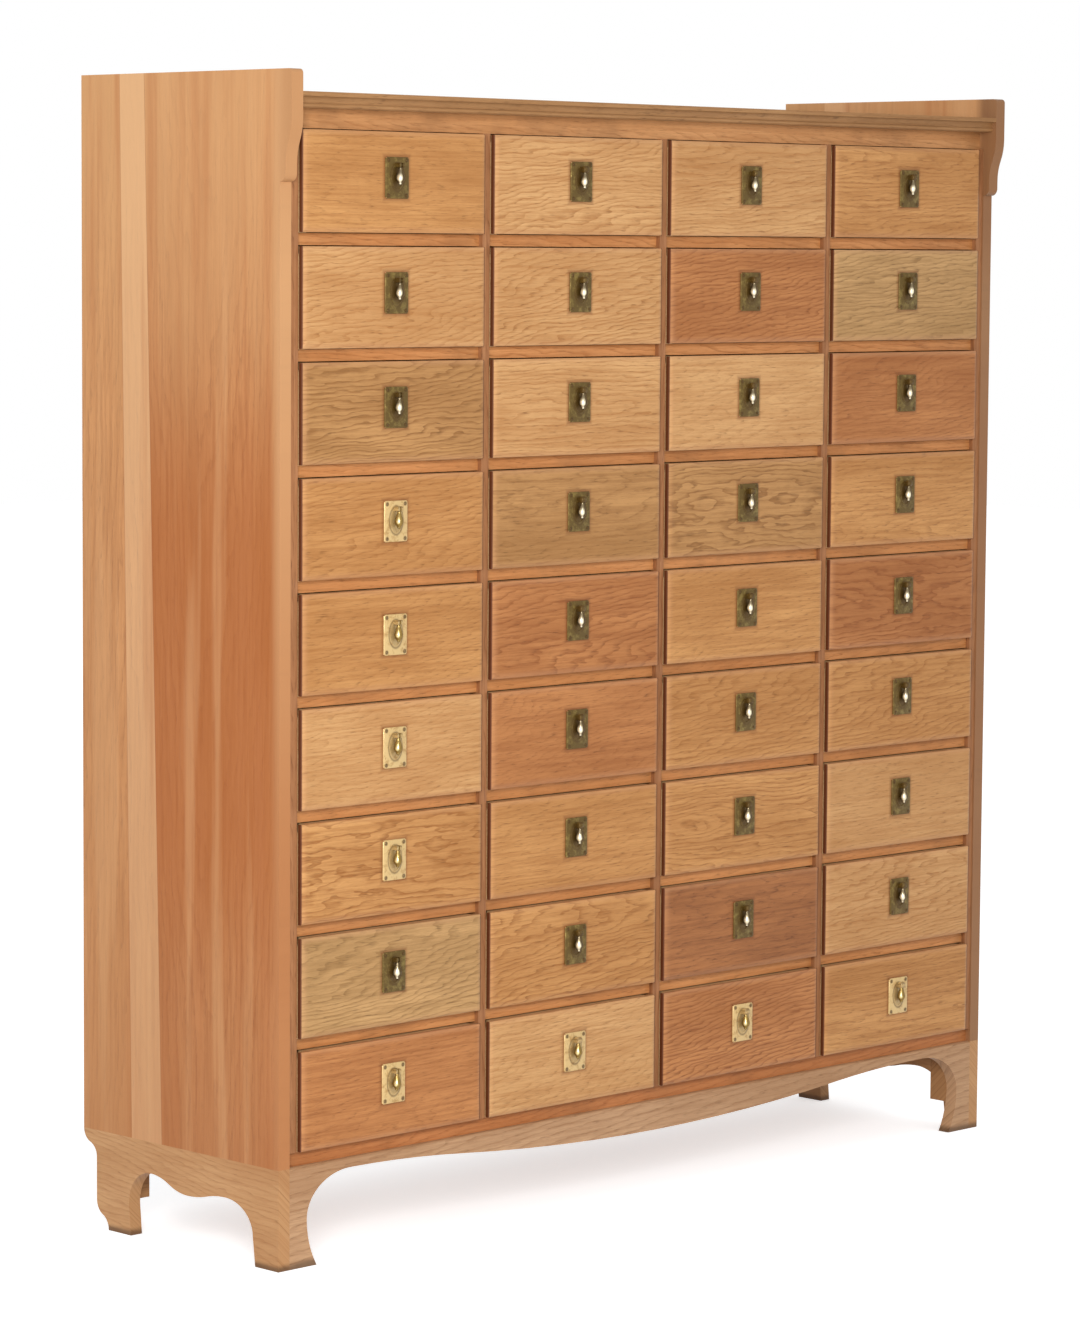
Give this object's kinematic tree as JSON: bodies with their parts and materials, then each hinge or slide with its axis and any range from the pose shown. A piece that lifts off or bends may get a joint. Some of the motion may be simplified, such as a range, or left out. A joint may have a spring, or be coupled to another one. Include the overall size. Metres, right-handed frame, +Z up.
{
  "type": "cabinet with many small drawers",
  "caption": "Tall oak cabinet with a full front of small sliding drawers, brass plates with drop pulls, low gallery ends and a shaped bracket-foot plinth",
  "frame": {"origin": "On the floor under the middle of the overall bounding box", "axes": "+X is to the right as one faces the drawers, +Y is from the drawer fronts towards the back, +Z is up"},
  "size_m": [1.462, 0.433, 1.6],
  "materials": {
    "oak_sides": "waxed oak, upright grain",
    "oak_drawers": "waxed oak, level grain, each drawer a little different",
    "oak_carcass": "waxed oak",
    "oak_top": "waxed oak, level grain",
    "oak_plinth": "waxed oak, paler than the carcass",
    "oak_back": "dark stained board",
    "brass": "worn brass, dark in the corners"
  },
  "bodies": {
    "cabinet": {"side_left": "oak_sides", "side_right": "oak_sides", "top_board": "oak_top", "bottom_board": "oak_carcass", "inner_uprights": "oak_carcass", "end_uprights": "oak_carcass", "front_rails": "oak_carcass", "top_rails": "oak_carcass", "drawer_runners": "oak_carcass", "back_panel": "oak_back", "plinth_front": "oak_plinth", "plinth_left": "oak_plinth", "plinth_right": "oak_plinth", "plinth_back": "oak_carcass", "corner_blocks": "oak_carcass"},
    "drawer_r1_c1": {"drawer_r1_c1": "oak_drawers"},
    "drawer_r1_c2": {"drawer_r1_c2": "oak_drawers"},
    "drawer_r1_c3": {"drawer_r1_c3": "oak_drawers"},
    "drawer_r1_c4": {"drawer_r1_c4": "oak_drawers"},
    "drawer_r2_c1": {"drawer_r2_c1": "oak_drawers"},
    "drawer_r2_c2": {"drawer_r2_c2": "oak_drawers"},
    "drawer_r2_c3": {"drawer_r2_c3": "oak_drawers"},
    "drawer_r2_c4": {"drawer_r2_c4": "oak_drawers"},
    "drawer_r3_c1": {"drawer_r3_c1": "oak_drawers"},
    "drawer_r3_c2": {"drawer_r3_c2": "oak_drawers"},
    "drawer_r3_c3": {"drawer_r3_c3": "oak_drawers"},
    "drawer_r3_c4": {"drawer_r3_c4": "oak_drawers"},
    "drawer_r4_c1": {"drawer_r4_c1": "oak_drawers"},
    "drawer_r4_c2": {"drawer_r4_c2": "oak_drawers"},
    "drawer_r4_c3": {"drawer_r4_c3": "oak_drawers"},
    "drawer_r4_c4": {"drawer_r4_c4": "oak_drawers"},
    "drawer_r5_c1": {"drawer_r5_c1": "oak_drawers"},
    "drawer_r5_c2": {"drawer_r5_c2": "oak_drawers"},
    "drawer_r5_c3": {"drawer_r5_c3": "oak_drawers"},
    "drawer_r5_c4": {"drawer_r5_c4": "oak_drawers"},
    "drawer_r6_c1": {"drawer_r6_c1": "oak_drawers"},
    "drawer_r6_c2": {"drawer_r6_c2": "oak_drawers"},
    "drawer_r6_c3": {"drawer_r6_c3": "oak_drawers"},
    "drawer_r6_c4": {"drawer_r6_c4": "oak_drawers"},
    "drawer_r7_c1": {"drawer_r7_c1": "oak_drawers"},
    "drawer_r7_c2": {"drawer_r7_c2": "oak_drawers"},
    "drawer_r7_c3": {"drawer_r7_c3": "oak_drawers"},
    "drawer_r7_c4": {"drawer_r7_c4": "oak_drawers"},
    "drawer_r8_c1": {"drawer_r8_c1": "oak_drawers"},
    "drawer_r8_c2": {"drawer_r8_c2": "oak_drawers"},
    "drawer_r8_c3": {"drawer_r8_c3": "oak_drawers"},
    "drawer_r8_c4": {"drawer_r8_c4": "oak_drawers"},
    "drawer_r9_c1": {"drawer_r9_c1": "oak_drawers"},
    "drawer_r9_c2": {"drawer_r9_c2": "oak_drawers"},
    "drawer_r9_c3": {"drawer_r9_c3": "oak_drawers"},
    "drawer_r9_c4": {"drawer_r9_c4": "oak_drawers"},
    "pull_r1_c1": {"pull_r1_c1": "brass"},
    "pull_r2_c1": {"pull_r2_c1": "brass"},
    "pull_r3_c1": {"pull_r3_c1": "brass"},
    "pull_r4_c1": {"pull_r4_c1": "brass"},
    "pull_r5_c1": {"pull_r5_c1": "brass"},
    "pull_r6_c1": {"pull_r6_c1": "brass"},
    "pull_r7_c1": {"pull_r7_c1": "brass"},
    "pull_r8_c1": {"pull_r8_c1": "brass"},
    "pull_r9_c1": {"pull_r9_c1": "brass"}
  },
  "joints": [
    {"name": "slide_r1_c1", "type": "slide", "parent": "cabinet", "child": "drawer_r1_c1", "axis": [0, -1, 0], "range_m": [0, 0.3]},
    {"name": "slide_r1_c2", "type": "slide", "parent": "cabinet", "child": "drawer_r1_c2", "axis": [0, -1, 0], "range_m": [0, 0.3]},
    {"name": "slide_r1_c3", "type": "slide", "parent": "cabinet", "child": "drawer_r1_c3", "axis": [0, -1, 0], "range_m": [0, 0.3]},
    {"name": "slide_r1_c4", "type": "slide", "parent": "cabinet", "child": "drawer_r1_c4", "axis": [0, -1, 0], "range_m": [0, 0.3]},
    {"name": "slide_r2_c1", "type": "slide", "parent": "cabinet", "child": "drawer_r2_c1", "axis": [0, -1, 0], "range_m": [0, 0.3]},
    {"name": "slide_r2_c2", "type": "slide", "parent": "cabinet", "child": "drawer_r2_c2", "axis": [0, -1, 0], "range_m": [0, 0.3]},
    {"name": "slide_r2_c3", "type": "slide", "parent": "cabinet", "child": "drawer_r2_c3", "axis": [0, -1, 0], "range_m": [0, 0.3]},
    {"name": "slide_r2_c4", "type": "slide", "parent": "cabinet", "child": "drawer_r2_c4", "axis": [0, -1, 0], "range_m": [0, 0.3]},
    {"name": "slide_r3_c1", "type": "slide", "parent": "cabinet", "child": "drawer_r3_c1", "axis": [0, -1, 0], "range_m": [0, 0.3]},
    {"name": "slide_r3_c2", "type": "slide", "parent": "cabinet", "child": "drawer_r3_c2", "axis": [0, -1, 0], "range_m": [0, 0.3]},
    {"name": "slide_r3_c3", "type": "slide", "parent": "cabinet", "child": "drawer_r3_c3", "axis": [0, -1, 0], "range_m": [0, 0.3]},
    {"name": "slide_r3_c4", "type": "slide", "parent": "cabinet", "child": "drawer_r3_c4", "axis": [0, -1, 0], "range_m": [0, 0.3]},
    {"name": "slide_r4_c1", "type": "slide", "parent": "cabinet", "child": "drawer_r4_c1", "axis": [0, -1, 0], "range_m": [0, 0.3]},
    {"name": "slide_r4_c2", "type": "slide", "parent": "cabinet", "child": "drawer_r4_c2", "axis": [0, -1, 0], "range_m": [0, 0.3]},
    {"name": "slide_r4_c3", "type": "slide", "parent": "cabinet", "child": "drawer_r4_c3", "axis": [0, -1, 0], "range_m": [0, 0.3]},
    {"name": "slide_r4_c4", "type": "slide", "parent": "cabinet", "child": "drawer_r4_c4", "axis": [0, -1, 0], "range_m": [0, 0.3]},
    {"name": "slide_r5_c1", "type": "slide", "parent": "cabinet", "child": "drawer_r5_c1", "axis": [0, -1, 0], "range_m": [0, 0.3]},
    {"name": "slide_r5_c2", "type": "slide", "parent": "cabinet", "child": "drawer_r5_c2", "axis": [0, -1, 0], "range_m": [0, 0.3]},
    {"name": "slide_r5_c3", "type": "slide", "parent": "cabinet", "child": "drawer_r5_c3", "axis": [0, -1, 0], "range_m": [0, 0.3]},
    {"name": "slide_r5_c4", "type": "slide", "parent": "cabinet", "child": "drawer_r5_c4", "axis": [0, -1, 0], "range_m": [0, 0.3]},
    {"name": "slide_r6_c1", "type": "slide", "parent": "cabinet", "child": "drawer_r6_c1", "axis": [0, -1, 0], "range_m": [0, 0.3]},
    {"name": "slide_r6_c2", "type": "slide", "parent": "cabinet", "child": "drawer_r6_c2", "axis": [0, -1, 0], "range_m": [0, 0.3]},
    {"name": "slide_r6_c3", "type": "slide", "parent": "cabinet", "child": "drawer_r6_c3", "axis": [0, -1, 0], "range_m": [0, 0.3]},
    {"name": "slide_r6_c4", "type": "slide", "parent": "cabinet", "child": "drawer_r6_c4", "axis": [0, -1, 0], "range_m": [0, 0.3]},
    {"name": "slide_r7_c1", "type": "slide", "parent": "cabinet", "child": "drawer_r7_c1", "axis": [0, -1, 0], "range_m": [0, 0.3]},
    {"name": "slide_r7_c2", "type": "slide", "parent": "cabinet", "child": "drawer_r7_c2", "axis": [0, -1, 0], "range_m": [0, 0.3]},
    {"name": "slide_r7_c3", "type": "slide", "parent": "cabinet", "child": "drawer_r7_c3", "axis": [0, -1, 0], "range_m": [0, 0.3]},
    {"name": "slide_r7_c4", "type": "slide", "parent": "cabinet", "child": "drawer_r7_c4", "axis": [0, -1, 0], "range_m": [0, 0.3]},
    {"name": "slide_r8_c1", "type": "slide", "parent": "cabinet", "child": "drawer_r8_c1", "axis": [0, -1, 0], "range_m": [0, 0.3]},
    {"name": "slide_r8_c2", "type": "slide", "parent": "cabinet", "child": "drawer_r8_c2", "axis": [0, -1, 0], "range_m": [0, 0.3]},
    {"name": "slide_r8_c3", "type": "slide", "parent": "cabinet", "child": "drawer_r8_c3", "axis": [0, -1, 0], "range_m": [0, 0.3]},
    {"name": "slide_r8_c4", "type": "slide", "parent": "cabinet", "child": "drawer_r8_c4", "axis": [0, -1, 0], "range_m": [0, 0.3]},
    {"name": "slide_r9_c1", "type": "slide", "parent": "cabinet", "child": "drawer_r9_c1", "axis": [0, -1, 0], "range_m": [0, 0.3]},
    {"name": "slide_r9_c2", "type": "slide", "parent": "cabinet", "child": "drawer_r9_c2", "axis": [0, -1, 0], "range_m": [0, 0.3]},
    {"name": "slide_r9_c3", "type": "slide", "parent": "cabinet", "child": "drawer_r9_c3", "axis": [0, -1, 0], "range_m": [0, 0.3]},
    {"name": "slide_r9_c4", "type": "slide", "parent": "cabinet", "child": "drawer_r9_c4", "axis": [0, -1, 0], "range_m": [0, 0.3]},
    {"name": "swing_r1_c1", "type": "hinge", "parent": "drawer_r1_c1", "child": "pull_r1_c1", "pos_m": [-0.528, -0.2075, 1.47797], "axis": [-1, 0, 0], "range_deg": [0, 78]},
    {"name": "swing_r2_c1", "type": "hinge", "parent": "drawer_r2_c1", "child": "pull_r2_c1", "pos_m": [-0.528, -0.2075, 1.32442], "axis": [-1, 0, 0], "range_deg": [0, 78]},
    {"name": "swing_r3_c1", "type": "hinge", "parent": "drawer_r3_c1", "child": "pull_r3_c1", "pos_m": [-0.528, -0.2075, 1.17086], "axis": [-1, 0, 0], "range_deg": [0, 78]},
    {"name": "swing_r4_c1", "type": "hinge", "parent": "drawer_r4_c1", "child": "pull_r4_c1", "pos_m": [-0.528, -0.2075, 1.01731], "axis": [-1, 0, 0], "range_deg": [0, 78]},
    {"name": "swing_r5_c1", "type": "hinge", "parent": "drawer_r5_c1", "child": "pull_r5_c1", "pos_m": [-0.528, -0.2075, 0.86375], "axis": [-1, 0, 0], "range_deg": [0, 78]},
    {"name": "swing_r6_c1", "type": "hinge", "parent": "drawer_r6_c1", "child": "pull_r6_c1", "pos_m": [-0.528, -0.2075, 0.71019], "axis": [-1, 0, 0], "range_deg": [0, 78]},
    {"name": "swing_r7_c1", "type": "hinge", "parent": "drawer_r7_c1", "child": "pull_r7_c1", "pos_m": [-0.528, -0.2075, 0.55664], "axis": [-1, 0, 0], "range_deg": [0, 78]},
    {"name": "swing_r8_c1", "type": "hinge", "parent": "drawer_r8_c1", "child": "pull_r8_c1", "pos_m": [-0.528, -0.2075, 0.40308], "axis": [-1, 0, 0], "range_deg": [0, 78]},
    {"name": "swing_r9_c1", "type": "hinge", "parent": "drawer_r9_c1", "child": "pull_r9_c1", "pos_m": [-0.528, -0.2075, 0.24953], "axis": [-1, 0, 0], "range_deg": [0, 78]}
  ]
}
